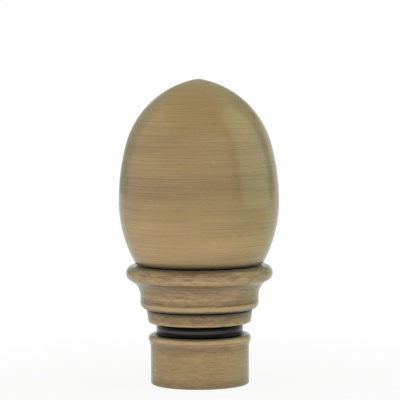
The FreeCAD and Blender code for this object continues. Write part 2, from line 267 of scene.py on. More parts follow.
@dataclass
class Skin:
    """A mesh in the making: rings of points with what the finish reads from them, and faces between them.

    Attributes:
        points: Places in millimetres.
        brush: For each point cos and sin of its angle, and the distance along the profile in millimetres.
        patina: For each point how dark it is, as in Run.
        stroke: For each point the kind of brushing.
        ring: For each point the number of the ring that it lies on.
        corners: Point numbers of the faces' corners.
        places: Map coordinates of the faces' corners.
        sides: For each face how many corners it has.
        point_count: How many points there are.
        ring_count: How many rings there are.
    """

    points: list[np.ndarray] = field(default_factory=list)
    brush: list[np.ndarray] = field(default_factory=list)
    patina: list[np.ndarray] = field(default_factory=list)
    stroke: list[np.ndarray] = field(default_factory=list)
    ring: list[np.ndarray] = field(default_factory=list)
    corners: list[np.ndarray] = field(default_factory=list)
    places: list[np.ndarray] = field(default_factory=list)
    sides: list[np.ndarray] = field(default_factory=list)
    point_count: int = 0
    ring_count: int = 0

    def add_points(
        self, points: np.ndarray, along: np.ndarray, patina: np.ndarray | float, stroke: np.ndarray | float
    ) -> np.ndarray:
        """Adds rings of points.

        Args:
            points: Places, as rings by columns by three.
            along: Distance along the profile, for each point or ring.
            patina: How dark, for each point, for each ring or for all.
            stroke: Kind of brushing, for each point, for each ring or for all.

        Returns:
            The points' numbers, rings by columns.
        """
        shape = points.shape[:2]
        reach = np.hypot(points[..., 0], points[..., 1])[..., None]
        # A point on the axis has no angle, so it keeps zeros.
        turn = points[..., :2] / np.where(reach > 0, reach, 1.0)
        travel = np.broadcast_to(along, shape)[..., None]
        self.points.append(points.reshape(-1, 3))
        self.brush.append(np.concatenate([turn, travel], axis=2).reshape(-1, 3))
        self.patina.append(np.broadcast_to(patina, shape).ravel())
        self.stroke.append(np.broadcast_to(stroke, shape).ravel())
        self.ring.append(np.repeat(np.arange(shape[0]) + self.ring_count, shape[1]))
        numbers = np.arange(shape[0] * shape[1]).reshape(shape) + self.point_count
        self.point_count += numbers.size
        self.ring_count += shape[0]
        return numbers

    def add_sheet(self, numbers: np.ndarray, places: np.ndarray, keep: np.ndarray | bool = True) -> None:
        """Adds four-sided faces between neighbours of a grid of points, counter-clockwise seen from outside.

        Args:
            numbers: The points' numbers, as rows by columns.
            places: Map coordinates of each grid point, rows by columns by two.
            keep: Which faces to keep.
        """

        def four(grid: np.ndarray) -> np.ndarray:
            """The four corners of each face, side by side."""
            return np.stack([grid[:-1, :-1], grid[:-1, 1:], grid[1:, 1:], grid[1:, :-1]], axis=2)

        chosen = np.broadcast_to(keep, np.subtract(numbers.shape, 1))
        self.corners.append(four(numbers)[chosen].ravel())
        self.places.append(four(places)[chosen].reshape(-1, 2))
        self.sides.append(np.full(int(chosen.sum()), 4))

    def add_fan(self, hub: int, hub_up: float, rim: np.ndarray, places: np.ndarray, last: bool) -> None:
        """Closes a pole with three-sided faces.

        Args:
            hub: The pole's point.
            hub_up: The pole's second map coordinate.
            rim: The ring next to it, with its first point again at the end.
            places: The ring's map coordinates.
            last: True where the pole comes after the ring.
        """
        order = slice(None) if last else slice(None, None, -1)
        rim, places = rim[order], places[order]
        here, then = places[:-1], places[1:]
        top = np.stack([(here[:, 0] + then[:, 0]) / 2, np.full(len(here), hub_up)], axis=1)
        self.corners.append(np.stack([rim[:-1], rim[1:], np.full(len(here), hub)], axis=1).ravel())
        self.places.append(np.stack([here, then, top], axis=1).reshape(-1, 2))
        self.sides.append(np.full(len(here), 3))

    def make(self, name: str, sharp: np.ndarray) -> Object:
        """Puts everything into a mesh object at the origin.

        Faces that are black all over take the object's second finish.

        Args:
            name: The object's name.
            sharp: Numbers of the rings whose edges are crisp.

        Returns:
            The object, linked to the scene.
        """
        points = np.concatenate(self.points) * MM
        corners, sides = np.concatenate(self.corners), np.concatenate(self.sides)
        mesh = bpy.data.meshes.new(name)
        mesh.vertices.add(len(points))
        mesh.vertices.foreach_set("co", points.ravel())
        mesh.loops.add(len(corners))
        mesh.loops.foreach_set("vertex_index", corners)
        mesh.polygons.add(len(sides))
        starts = np.concatenate([[0], np.cumsum(sides)[:-1]])
        mesh.polygons.foreach_set("loop_start", starts)
        mesh.polygons.foreach_set("use_smooth", np.ones(len(sides), bool))
        tones = np.minimum.reduceat(np.concatenate(self.patina)[corners], starts)
        mesh.polygons.foreach_set("material_index", (tones >= GROOVE).astype(np.int32))
        mesh.update(calc_edges=True)
        mesh.uv_layers.new(name=BAKE_MAP).uv.foreach_set("vector", np.concatenate(self.places).ravel())
        brush = mesh.attributes.new("brush", "FLOAT_VECTOR", "POINT")
        brush.data.foreach_set("vector", np.concatenate(self.brush).ravel())
        for kind, values in (("patina", self.patina), ("stroke", self.stroke)):
            mesh.attributes.new(kind, "FLOAT", "POINT").data.foreach_set("value", np.concatenate(values))
        pairs = np.empty(len(mesh.edges) * 2, np.int32)
        mesh.edges.foreach_get("vertices", pairs)
        first, second = np.concatenate(self.ring)[pairs.reshape(-1, 2)].T
        crisp = mesh.attributes.new("sharp_edge", "BOOLEAN", "EDGE")
        crisp.data.foreach_set("value", (first == second) & np.isin(first, sharp))
        mesh.validate()
        return new_object(name, mesh)


@dataclass(frozen=True)
class AntiqueBrass:
    """Antique brass: plate blackened all over, brushed bright on the lathe, then lacquered.

    The eye gets a brown gold with hair lines round the turn, brown streaks where the brush skipped, bright
    edges that are partly rubbed and partly painted highlight, dark hollows that the brush hardly reached,
    a cove under the bead with painted shade, painted light and shade along the egg and the socket, and a
    clear shine over all, pale at the sides.

    Attributes:
        egg_marks: Long hair lines, short flecks and broad bands.
        collar_marks: Short lines, short flecks and patches.
        drift: How the rubbed metal drifts between gold and rose.
        fading: Range of patina over which the marks fade out.
        browning: Range of tone from rubbed metal to brown.
        blackening: Range of tone from brown to black.
        furrows: Range of the marks over which the roughness grows.
        roughness: From bright to dark marks.
    """

    gold: str = "#C9AA6C"
    rose: str = "#C8A97D"
    brown: str = "#6A5236"
    black: str = "#0E0B0A"
    # At the sides the brushed metal turns dark and slightly green instead of white.
    edge: str = "#90A070"
    # Real brush lines are some 0.1 mm wide. They are drawn wider, because the picture shows nothing finer.
    egg_marks: tuple[Marks, ...] = (Marks(60.0, 0.36, 0.46), Marks(2.5, 0.28, 0.22), Marks(120.0, 7.0, 0.28))
    collar_marks: tuple[Marks, ...] = (Marks(36.0, 0.36, 0.5), Marks(2.5, 0.28, 0.4), Marks(11.0, 1.0, 0.62))
    drift: Marks = Marks(120.0, 14.0, 2.0)
    fading: Point = (0.3, 0.7)
    browning: Point = (-0.3, 0.5)
    blackening: Point = (0.5, 0.95)
    furrows: Point = (-0.25, 0.25)
    roughness: Point = (0.54, 0.66)
    furrow_mm: float = 0.012
    furrow_strength: float = 0.3
    # A quarter turn makes the highlights stretch across the brush lines.
    stretch: float = 0.4
    stretch_turn: float = 0.25
    lacquer: float = 0.8
    lacquer_roughness: float = 0.12
    # A thin film of wax pales the sides.
    wax: str = "#DEECCC"
    wax_weight: float = 0.2
    wax_roughness: float = 0.65

    def material(self) -> Material:
        """Builds the material.

        Returns:
            The finish of everything that was turned.
        """
        made = new_material("antique_brass_brushed_and_lacquered")
        tree = made.node_tree
        patina = add(tree, "Attribute", attribute_name="patina").outputs["Fac"]
        stroke = add(tree, "Attribute", attribute_name="stroke").outputs["Fac"]
        kinds: dict[str, Any] = {"Factor_Float": stroke, "A_Float": 0.0, "B_Float": 0.0}
        for side, layers in (("A_Float", self.egg_marks), ("B_Float", self.collar_marks)):
            for layer in layers:
                kinds[side] = layer.over(tree, kinds[side])
        marks = add(tree, "Mix", kinds, clamp_factor=False)
        # Where the black starts the brush left no marks.
        brushed = add(tree, "MapRange", {"Value": patina, **ranges(self.fading, (1.0, 0.0))})
        marks = add(tree, "Math", {"Value": marks, "Value_001": brushed}, operation="MULTIPLY")
        dark = add(tree, "Math", {"Value": patina, "Value_001": marks}, operation="ADD")

        # From gold or rose to brown, and from brown to black, which is no metal.
        drift = self.drift.over(tree, 0.5)
        ends = {"A_Color": linear(self.gold), "B_Color": linear(self.rose)}
        rubbed_and_painted_highlight = add(tree, "Mix", {"Factor_Float": drift, **ends}, data_type="RGBA")
        browned = add(tree, "MapRange", {"Value": dark, **ranges(self.browning)})
        ends = {"A_Color": rubbed_and_painted_highlight, "B_Color": linear(self.brown)}
        metal = add(tree, "Mix", {"Factor_Float": browned, **ends}, data_type="RGBA")
        reach = {"Value": dark, **ranges(self.blackening)}
        black = add(tree, "MapRange", reach, interpolation_type="SMOOTHSTEP")
        ends = {"A_Color": metal, "B_Color": linear(self.black)}

        # The brush's furrows scatter more light where they are dark.
        depth = {"Strength": self.furrow_strength, "Distance": self.furrow_mm * MM}
        brass = {
            "Base Color": add(tree, "Mix", {"Factor_Float": black, **ends}, data_type="RGBA"),
            "Metallic": add(tree, "MapRange", {"Value": black, **ranges((0.0, 1.0), (1.0, 0.0))}),
            "Roughness": add(tree, "MapRange", {"Value": marks, **ranges(self.furrows, self.roughness)}),
            "Normal": add(tree, "Bump", {"Height": marks, **depth}),
            "Specular IOR Level": 0.0,
            "Specular Tint": linear(self.edge),
            "Anisotropic": self.stretch,
            "Anisotropic Rotation": self.stretch_turn,
            "Tangent": add(tree, "Tangent", direction_type="RADIAL", axis="Z"),
            "Coat Weight": self.lacquer,
            "Coat Roughness": self.lacquer_roughness,
            "Sheen Weight": self.wax_weight,
            "Sheen Roughness": self.wax_roughness,
            "Sheen Tint": linear(self.wax),
        }
        add(tree, "OutputMaterial", {"Surface": add(tree, "BsdfPrincipled", brass)})
        return made


@dataclass(frozen=True)
class BlackPatina:
    """Chemical black on brass, as it stays in grooves.

    The eye gets a satin black, and past a tone of 1 a dark grey metal with a soft shine, which is painted
    highlight where the middle of the neck shows a band of reflection.

    Attributes:
        rubbing_and_painted_highlight: Range of tone from black to the dark grey metal of the painted
            highlight.
        roughness: From black to that dark grey metal.
        shine: Strength of the black's own reflection, where 0.5 is that of common lacquer.
    """

    black: str = "#080606"
    # Dark grey metal: painted highlight along the middle of the neck.
    rubbed_and_painted_highlight: str = "#48433F"
    # Drawn wider than the real marks, which are too fine for the picture.
    marks: Marks = Marks(36.0, 0.36, 0.2)
    rubbing_and_painted_highlight: Point = (1.0, 1.5)
    roughness: Point = (0.18, 0.14)
    shine: float = 0.1
    # A thin bloom, as old patina has.
    bloom: str = "#E6EAF2"
    bloom_weight: float = 0.15
    bloom_roughness: float = 0.25

    def material(self) -> Material:
        """Builds the material.

        Returns:
            The finish of the grooves.
        """
        made = new_material("black_patina_in_grooves")
        tree = made.node_tree
        patina = add(tree, "Attribute", attribute_name="patina").outputs["Fac"]
        tone = self.marks.over(tree, patina)
        share = add(tree, "MapRange", {"Value": tone, **ranges(self.rubbing_and_painted_highlight)})
        ends = {"A_Color": linear(self.black), "B_Color": linear(self.rubbed_and_painted_highlight)}
        satin = {
            "Base Color": add(tree, "Mix", {"Factor_Float": share, **ends}, data_type="RGBA"),
            "Metallic": share,
            "Roughness": add(tree, "MapRange", {"Value": share, **ranges((0.0, 1.0), self.roughness)}),
            "Specular IOR Level": self.shine,
            "Sheen Weight": self.bloom_weight,
            "Sheen Roughness": self.bloom_roughness,
            "Sheen Tint": linear(self.bloom),
        }
        add(tree, "OutputMaterial", {"Surface": add(tree, "BsdfPrincipled", satin)})
        return made


@dataclass(frozen=True)
class BlackOxideSteel:
    """Black-oxided steel, as turned: a dark grey with a dull shine and fine marks round the turn."""

    grey: str = "#242325"
    worn: str = "#4A494B"
    marks: Marks = Marks(28.65, 0.12, 1.0, detail=3.0, grit=0.5)
    roughness: Point = (0.3, 0.5)
    metallic: float = 0.85

    def material(self) -> Material:
        """Builds the material.

        Returns:
            The finish of the grub screw.
        """
        made = new_material("black_oxide_steel_turned")
        tree = made.node_tree
        wear = self.marks.over(tree, 0.5)
        ends = {"A_Color": linear(self.grey), "B_Color": linear(self.worn)}
        steel = {
            "Base Color": add(tree, "Mix", {"Factor_Float": wear, **ends}, data_type="RGBA"),
            "Metallic": self.metallic,
            "Roughness": add(tree, "MapRange", {"Value": wear, **ranges((0.0, 1.0), self.roughness)}),
        }
        add(tree, "OutputMaterial", {"Surface": add(tree, "BsdfPrincipled", steel)})
        return made


@dataclass
class GrubScrew:
    """The M4 set screw in the back of the socket: cup point, thread, chamfers and a hexagon socket.

    Attributes:
        low: Distance of the cup point from the finial's axis.
        height: Height of the screw's axis above the mouth.
    """

    low: float
    height: float
    radius: float = 2.0
    length: float = 3.0
    chamfer: float = 0.35
    pitch: float = 0.7
    thread_depth: float = 0.36
    thread_flat: float = 0.125
    key: float = 2.0
    key_depth: float = 1.4
    key_edge: float = 0.08
    drill_point: float = 0.25
    cup_radius: float = 1.0
    cup_depth: float = 0.6
    columns: int = 96
    thread_rings: int = 56
    map_margin: float = 0.1

    def build(self, finish: BlackOxideSteel) -> Object:
        """Makes the screw as rings about its own axis, laid along +Y.

        A ring at distance t along the axis has radius (outer radius - thread depth * wave), where wave is a
        triangle of the phase t / pitch - angle / turn with its crest and root cut flat, and no ring is wider
        than the end chamfers allow.
        Inside the key socket a ring is a hexagon: half the key width / cos of the angle from the nearest
        flat's middle.

        Args:
            finish: The screw's finish.

        Returns:
            The screw.
        """
        angle = np.linspace(0, TURN, self.columns + 1)
        body = np.linspace(0, self.length, self.thread_rings)[:, None]
        phase = (body / self.pitch - angle / TURN) % 1
        wave = np.clip(np.abs(2 * phase - 1) * (1 + 2 * self.thread_flat) - self.thread_flat, 0, 1)
        from_end = np.minimum(body, self.length - body)
        thread = np.minimum(self.radius - self.thread_depth * wave, self.radius - self.chamfer + from_end)
        sixth = TURN / 6
        hexagon = self.key / 2 / np.cos((angle + sixth / 2) % sixth - sixth / 2)
        cup = np.full_like(angle, self.cup_radius)
        floor = self.length - self.key_depth
        radii = np.vstack([cup, thread, hexagon + self.key_edge, hexagon, hexagon])
        heights = np.concatenate([[0.0], body[:, 0], [self.length, self.length - self.key_edge, floor]])
        level = np.repeat(self.low + heights[:, None], len(angle), axis=1)
        places = np.stack([radii * np.cos(angle), level, self.height - radii * np.sin(angle)], axis=2)
        travel = np.cumsum(np.hypot(np.diff(heights, prepend=0.0), np.diff(radii[:, 0], prepend=0.0)))

        skin = Skin()
        numbers = skin.add_points(places[:, :-1], travel[:, None], 0.0, 0.0)
        wrapped = np.hstack([numbers, numbers[:, :1]])
        up = self.map_margin + (1 - 2 * self.map_margin) * travel / travel[-1]
        spread = np.stack(np.meshgrid(angle / TURN, up), axis=2)
        skin.add_sheet(wrapped, spread)
        ends = [self.low + self.cup_depth, self.low + floor - self.drill_point]
        poles = np.array([[[0.0, end, self.height]] for end in ends])
        hubs = skin.add_points(poles, travel[[0, -1], None], 0.0, 0.0)[:, 0]
        skin.add_fan(hubs[0], 0.0, wrapped[0], spread[0], last=False)
        skin.add_fan(hubs[1], 1.0, wrapped[-1], spread[-1], last=True)
        # Crisp are the cup's edge, both ends of the thread and the rings of the key socket.
        crisp = np.array([0, 1, -4, -3, -2, -1]) % len(heights)
        piece = skin.make("grub_screw_threaded", sharp=crisp)
        piece.data.materials.append(finish.material())
        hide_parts("grub_screw")
        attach(piece, BODY)
        return piece


@dataclass
class Finial:
    """The turned piece: socket with its bore, neck, moulded collar and egg, as one closed surface.

    Attributes:
        bore: Radius of the socket's bore.
        height: Height of the tip above the mouth.
        screw_height: Height of the screw's axis above the mouth.
    """

    bore: float
    height: float
    screw_height: float
    bore_depth: float = 14.5
    lead_in: float = 0.6
    wall: float = 2.8
    mouth_round: float = 0.4
    straight: float = 12.35
    flare_height: float = 3.3
    bead_swell: float = 0.75
    bead_round: float = 0.6
    shoulder_round: float = 1.55
    lid_width: float = 0.1
    neck_foot_round: float = 1.1
    neck_straight: float = 1.45
    neck_top_round: float = 1.5
    band_ledge: float = 1.2
    band_outset: float = 0.7
    band_height: float = 4.8
    band_round: float = 0.8
    waist_round: float = 2.05
    waist_straight: float = 2.4
    cove_height: float = 7.9
    rim_reach: float = 4.9
    rim_radius: float = 2.75
    slit_height: float = 0.5
    slit_depth: float = 1.2
    egg_radius: float = 27.65
    seat_inset: float = 5.65
    seat_round: float = 0.4
    belly_height: float = 21.7
    flank_height: float = 19.6
    flank_inset: float = 2.6
    tip_radius: float = 5.0
    hole_radius: float = 2.05
    countersink: float = 0.4
    columns: int = 192
    window_columns: int = 16
    window_rows: int = 16
    window_half_height: float = 3.6
    hole_rings: int = 6
    hole_wall_rings: int = 4
    bore_tone: float = 0.35
    hole_tone: float = 0.6
    crisp_deg: float = 25.0
    # The map unrolls the surface up to its top, and the strip above holds the wall of the screw's hole.
    map_top: float = 0.97
    map_strip: Point = (0.98, 0.999)

    @property
    def outside(self) -> float:
        """Radius of the socket's straight wall."""
        return self.bore + self.wall

    @property
    def bead_height(self) -> float:
        """Height of the socket's bead."""
        return self.straight + self.flare_height

    @property
    def neck_start(self) -> float:
        """Height of the socket's top, where the neck starts."""
        return self.bead_height + self.shoulder_round

    @property
    def band_start(self) -> float:
        """Height of the collar's underside."""
        return self.neck_start + self.neck_foot_round + self.neck_straight + self.neck_top_round

    @property
    def cove_start(self) -> float:
        """Height where the collar's waist ends and its cove starts."""
        return self.band_start + self.band_height + self.waist_round + self.waist_straight

    @property
    def seat_height(self) -> float:
        """Height of the egg's seat, above the slit."""
        return self.cove_start + self.cove_height + self.rim_radius + self.slit_height

    def socket_runs(self) -> list[Run]:
        """The bore from the middle of its floor, the rim and the outside of the socket up to the neck.

        Returns:
            The socket's stretches, in order.
        """
        outside, bead_z = self.outside, self.bead_height
        low, high = self.screw_height - self.window_half_height, self.screw_height + self.window_half_height
        window = 2 * self.window_half_height / self.window_rows
        widest = outside + self.bead_swell
        flare = arc_radius(self.flare_height, self.bead_swell) - self.bead_round
        flare_centre = (outside + flare, self.straight)
        bead_centre = (widest - self.bead_round, bead_z)
        meeting = between(flare_centre, bead_centre, flare / (flare + self.bead_round))
        mouth = outside - self.mouth_round
        lid = widest - self.shoulder_round
        mixed = Stroke.MIXED
        inner = self.bore_tone
        # Painted highlight on the bead's crest, partly rubbed metal; black patina stays where the shoulder
        # meets the neck.
        shoulder_patina_and_painted_highlight = (-0.3, -0.3, -0.2, -0.05, 0.2, 0.55, 0.95)
        return [
            Run((self.bore, self.bore_depth), step=1.2, patina=(inner,)),
            Run((self.bore, high), step=0.6, patina=(inner,)),
            Run((self.bore, low), step=window, patina=(inner,), pierced=True),
            Run((self.bore, self.lead_in), step=0.6, patina=(inner, 0.15)),
            Run((self.bore + self.lead_in, 0), step=0.3),
            Run((mouth, 0), step=0.4, patina=(0.1,)),
            Run((outside, self.mouth_round), (mouth, self.mouth_round), 0.1, (0.2,), mixed),
            # Painted shade: the straight wall darkens towards the mouth, by the floor.
            Run((outside, low), None, 0.5, (0.3, 0.24, 0.14, 0.05), mixed),
            Run((outside, high), None, window, (0.05, 0.0), mixed, pierced=True),
            Run((outside, self.straight), None, 0.4, (0.0, 0.05, 0.1), mixed),
            Run(meeting, flare_centre, 0.25, (0.15, 0.2, 0.1, -0.05), mixed),
            # Painted highlight on the bead's widest ring, partly rubbed metal.
            Run((widest, bead_z), bead_centre, 0.1, (-0.2, -0.3), mixed),
            Run((lid, self.neck_start), (lid, bead_z), 0.12, shoulder_patina_and_painted_highlight, mixed),
            Run((lid - self.lid_width, self.neck_start), step=0.4, patina=(1.0,)),
        ]

    def collar_runs(self) -> list[Run]:
        """The neck and the mouldings above it, up to the slit under the egg.

        Returns:
            The collar's stretches, in order.
        """
        band_z, cove_z = self.band_start, self.cove_start
        lid = self.outside + self.bead_swell - self.shoulder_round
        neck = lid - self.lid_width - self.neck_foot_round
        foot_z, top_z = self.neck_start + self.neck_foot_round, band_z - self.neck_top_round
        waist_z = band_z + self.band_height
        ledge = neck + self.neck_top_round
        low, high = ledge + self.band_ledge, ledge + self.band_ledge + self.band_outset
        waist = high + self.waist_round
        # The rounding of the band's lower edge touches its underside and its slightly leaning side.
        lean = math.atan2(self.band_outset, self.band_height)
        tangent = self.band_round * math.tan((math.pi / 2 - lean) / 2)
        lip_start = (low - tangent, band_z)
        lip_end = (low + tangent * math.sin(lean), band_z + tangent * math.cos(lean))
        quarter_end = (waist, waist_z + self.waist_round)
        cove = arc_radius(self.cove_height, self.rim_reach) - self.rim_radius
        cove_centre = (waist + cove, cove_z)
        rim_centre = (waist + self.rim_reach - self.rim_radius, cove_z + self.cove_height)
        meeting = between(cove_centre, rim_centre, cove / (cove + self.rim_radius))
        rim_top = (rim_centre[0], rim_centre[1] + self.rim_radius)
        spigot = (self.egg_radius - self.seat_inset - self.slit_depth, rim_top[1])
        # Black patina stays in each inner corner. The edges beside it are bright, partly rubbed metal and
        # partly
        #         painted highlight, and the neck's middle is painted highlight in dark grey metal.
        neck_black_and_painted_highlight = (1.0, 1.1, 1.4, 1.6, 1.6, 1.5, 1.2)
        band_tone = (-0.15, 0.07, 0.16, 0.2, 0.25, 0.35, 0.8, 1.0)
        quarter_patina_and_painted_highlight = (1.0, 1.0, 0.9, 0.84, 0.7, 0.4, 0.1, -0.2, -0.5, -0.5, -0.4)
        waist_tone = (-0.2, 0.15, 0.28, 0.24, 0.15, 0.1, 0.0)
        cove_painted_shade = (-0.1, 0.0, 0.05, 0.12, 0.17, 0.15)
        rim_patina_and_painted_highlight = (0.15, -0.1, -0.18, -0.08, 0.06, 0.07, 0.2, 0.45, 0.65)
        return [
            Run((neck, foot_z), (neck + self.neck_foot_round, foot_z), 0.15, (1.0,)),
            Run((neck, top_z), step=0.15, patina=neck_black_and_painted_highlight),
            Run((ledge, band_z), (ledge, top_z), 0.18, (1.0,)),
            Run(lip_start, step=0.3, patina=(1.0, 0.9)),
            # Painted highlight on the band's lower lip, partly rubbed metal.
            Run(lip_end, (lip_start[0], band_z + self.band_round), 0.12, (0.8, 0.3, -0.3, -0.2)),
            Run((high, waist_z), step=0.2, patina=band_tone),
            # Black patina in the crease, then painted highlight on the quarter round, partly rubbed metal.
            Run(quarter_end, (high, quarter_end[1]), 0.14, quarter_patina_and_painted_highlight),
            Run((waist, cove_z), step=0.3, patina=waist_tone),
            # Painted shade: the cove turns slightly browner towards the bead above it.
            Run(meeting, cove_centre, 0.25, cove_painted_shade),
            # Painted highlight on the bead's underside, partly rubbed metal; its top darkens with patina
            # towards the slit.
            Run(rim_top, rim_centre, 0.18, rim_patina_and_painted_highlight, Stroke.ROUGH),
            Run(spigot, step=0.3, patina=(0.65, 0.7, 1.0, 1.0)),
        ]

    def egg_runs(self) -> list[Run]:
        """The slit's floor, the egg's underside, belly, flank, crown and tip.

        Returns:
            The egg's stretches, in order.
        """
        seat_z = self.seat_height
        seat = self.egg_radius - self.seat_inset
        equator = (self.egg_radius, seat_z + self.belly_height)
        belly = arc_radius(self.belly_height, self.seat_inset)
        belly_centre = (self.egg_radius - belly, equator[1])
        # The rounding of the seat's edge lies inside the belly's arc and on the seat's plane.
        round_z = seat_z + self.seat_round
        gap = belly - self.seat_round
        round_centre = (belly_centre[0] + math.sqrt(gap**2 - (equator[1] - round_z) ** 2), round_z)
        round_end = between(belly_centre, round_centre, belly / gap)
        flank = arc_radius(self.flank_height, self.flank_inset)
        flank_centre = (self.egg_radius - flank, equator[1])
        flank_end = (self.egg_radius - self.flank_inset, equator[1] + self.flank_height)
        # The crown goes on smoothly from the flank and holds the tip's circle inside it.
        normal = [(a - b) / flank for a, b in zip(flank_end, flank_centre)]
        tip_centre = (0.0, self.height - self.tip_radius)
        apart = [a - b for a, b in zip(flank_end, tip_centre)]
        along = apart[0] * normal[0] + apart[1] * normal[1]
        crown = (math.hypot(*apart) ** 2 - self.tip_radius**2) / (2 * (along - self.tip_radius))
        crown_centre = (flank_end[0] - crown * normal[0], flank_end[1] - crown * normal[1])
        crown_end = between(crown_centre, tip_centre, crown / (crown - self.tip_radius))
        long = Stroke.LONG
        # The belly is dark with patina at the slit. Above it is a painted reflection of the bright floor,
        # brightest
        #         just above the slit and less so towards its widest ring.
        belly_patina_and_painted_light = (0.45, -0.1, -0.19) + tuple(np.linspace(-0.2, -0.05, 20))
        return [
            Run((seat - self.slit_depth, seat_z), step=0.25, patina=(1.0,)),
            Run((round_centre[0], seat_z), None, 0.4, (1.0,), long),
            Run(round_end, round_centre, 0.1, (1.0, 1.0, 0.6), long),
            Run(equator, belly_centre, 0.6, belly_patina_and_painted_light, long),
            # Painted light: the crown and the tip are a little brighter than the flank.
            Run(flank_end, flank_centre, 0.7, (-0.05, 0.04, 0.0, -0.03), long),
            Run(crown_end, crown_centre, 0.6, (-0.03, -0.1, -0.12), long),
            Run((0.0, self.height), tip_centre, 0.2, (-0.12,), long),
        ]

    def build(self, finish: AntiqueBrass, groove: BlackPatina) -> Object:
        """Turns the profile about the axis: a ring at height z is (r cos, r sin, z) of even angles.

        A window of the grid behind the screw is left out, in the bore and outside, and filled by screw_hole.

        Args:
            finish: The finish of the turned metal.
            groove: The finish of the grooves.

        Returns:
            The finial.
        """
        runs = self.socket_runs() + self.collar_runs() + self.egg_runs()
        begin = (0.0, self.bore_depth)
        rings = [run.rings(start) for run, start in zip(runs, [begin] + [run.end for run in runs])]
        counts = [len(made) for made in rings]
        spans = [np.linspace(0, 1, count + 1)[1:] for count in counts]
        tones = [np.interp(s, np.linspace(0, 1, len(run.patina)), run.patina) for run, s in zip(runs, spans)]
        patina = np.concatenate(tones)
        stroke = np.repeat([run.stroke.value for run in runs], counts)
        profile = np.concatenate(rings)
        along = np.cumsum(np.hypot(*np.diff(profile, axis=0, prepend=[begin]).T))

        # The last ring has no radius: it is the tip. The bore's floor has its own middle.
        angle = np.linspace(0, TURN, self.columns + 1)
        radius, level = profile[:-1, :1], np.repeat(profile[:-1, 1:], self.columns, axis=1)
        points = np.stack([radius * np.cos(angle[:-1]), radius * np.sin(angle[:-1]), level], axis=2)
        skin = Skin()
        numbers = skin.add_points(points, along[:-1, None], patina[:-1, None], stroke[:-1, None])
        wrapped = np.hstack([numbers, numbers[:, :1]])
        up = self.map_top * along / along[-1]
        spread = np.stack(np.meshgrid(angle / TURN, up[:-1]), axis=2)
        ends = np.cumsum(counts)
        inside, outside = (slice(ends[i - 1] - 1, ends[i]) for i, run in enumerate(runs) if run.pierced)
        # The back is a quarter turn from the first column.
        back = self.columns // 4
        window = slice(back - self.window_columns // 2, back + self.window_columns // 2 + 1)
        keep = np.ones((len(numbers) - 1, self.columns), bool)
        for rows in (inside, outside):
            keep[rows.start : rows.stop - 1, window.start : window.stop - 1] = False
        skin.add_sheet(wrapped, spread, keep)
        poles = np.array([[[0.0, 0.0, self.bore_depth]], [[0.0, 0.0, self.height]]])
        travel = np.array([[0.0], [along[-1]]])
        hubs = skin.add_points(poles, travel, patina[[0, -1], None], stroke[[0, -1], None])[:, 0]
        skin.add_fan(hubs[0], 0.0, wrapped[0], spread[0], last=False)
        skin.add_fan(hubs[1], up[-1], wrapped[-1], spread[-1], last=True)

        # Rings where the profile turns a corner are crisp.
        heading = np.unwrap(np.arctan2(*np.diff(profile, axis=0).T[::-1]))
        corners = np.flatnonzero(np.abs(np.diff(heading)) > math.radians(self.crisp_deg)) + 1
        hole = self.screw_hole(skin, wrapped, spread, outside, inside, window)
        piece = skin.make("finial_turned", sharp=np.concatenate([corners, hole]))
        piece.data.materials.append(finish.material())
        piece.data.materials.append(groove.material())
        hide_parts("finial")
        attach(piece, BODY)
        return piece

    def screw_hole(
        self,
        skin: Skin,
        numbers: np.ndarray,
        spread: np.ndarray,
        outside: slice,
        inside: slice,
        window: slice,
    ) -> np.ndarray:
        """Fills both windows round the screw's hole, and joins them by the countersink and the hole's wall.

        Each ring goes round the window or the hole. On the socket it is a blend of the window's border and
        the hole's edge, laid on the cylinder as y = sqrt(radius squared - x squared).

        Args:
            skin: The mesh in the making.
            numbers: Numbers of the turned grid's points.
            spread: Map coordinates of the turned grid's points.
            outside: Rows of the outer window, upwards.
            inside: Rows of the bore's window, downwards.
            window: Columns of both windows.

        Returns:
            Numbers of the rings that are crisp.
        """

        def border(grid: np.ndarray) -> np.ndarray:
            """The grid's border, counter-clockwise seen from behind, closed by its first point."""
            sides = [grid[0, :-1], grid[:-1, -1], grid[-1, :0:-1], grid[:0:-1, 0]]
            return np.concatenate([*sides, grid[:1, 0]])

        def on_cylinder(radius: float, flat: np.ndarray) -> np.ndarray:
            """Lays points given by x and height above the screw's axis on the back of a cylinder."""
            depth = np.sqrt(radius**2 - flat[..., 0] ** 2)
            return np.stack([flat[..., 0], depth, flat[..., 1] + self.screw_height], axis=-1)

        def unrolled(loops: np.ndarray, heights: np.ndarray, ups: np.ndarray) -> np.ndarray:
            """Map coordinates of points on the socket, from their angle and their height in the window."""
            across = np.arctan2(loops[..., 1], loops[..., 0]) / TURN
            return np.stack([across, np.polyval(np.polyfit(heights, ups, 1), loops[..., 2])], axis=-1)

        points = np.concatenate(skin.points)
        travel = np.concatenate(skin.brush)[:, 2]
        outer_rim, inner_rim = border(numbers[outside, window]), border(numbers[inside, window][::-1])
        outer_map, inner_map = border(spread[outside, window]), border(spread[inside, window][::-1])
        middle = np.array([0.0, self.screw_height])
        outer_flat, inner_flat = (points[rim][:, [0, 2]] - middle for rim in (outer_rim, inner_rim))
        turn = np.arctan2(outer_flat[:, 1], outer_flat[:, 0])
        ray = np.stack([np.cos(turn), np.sin(turn)], axis=1)

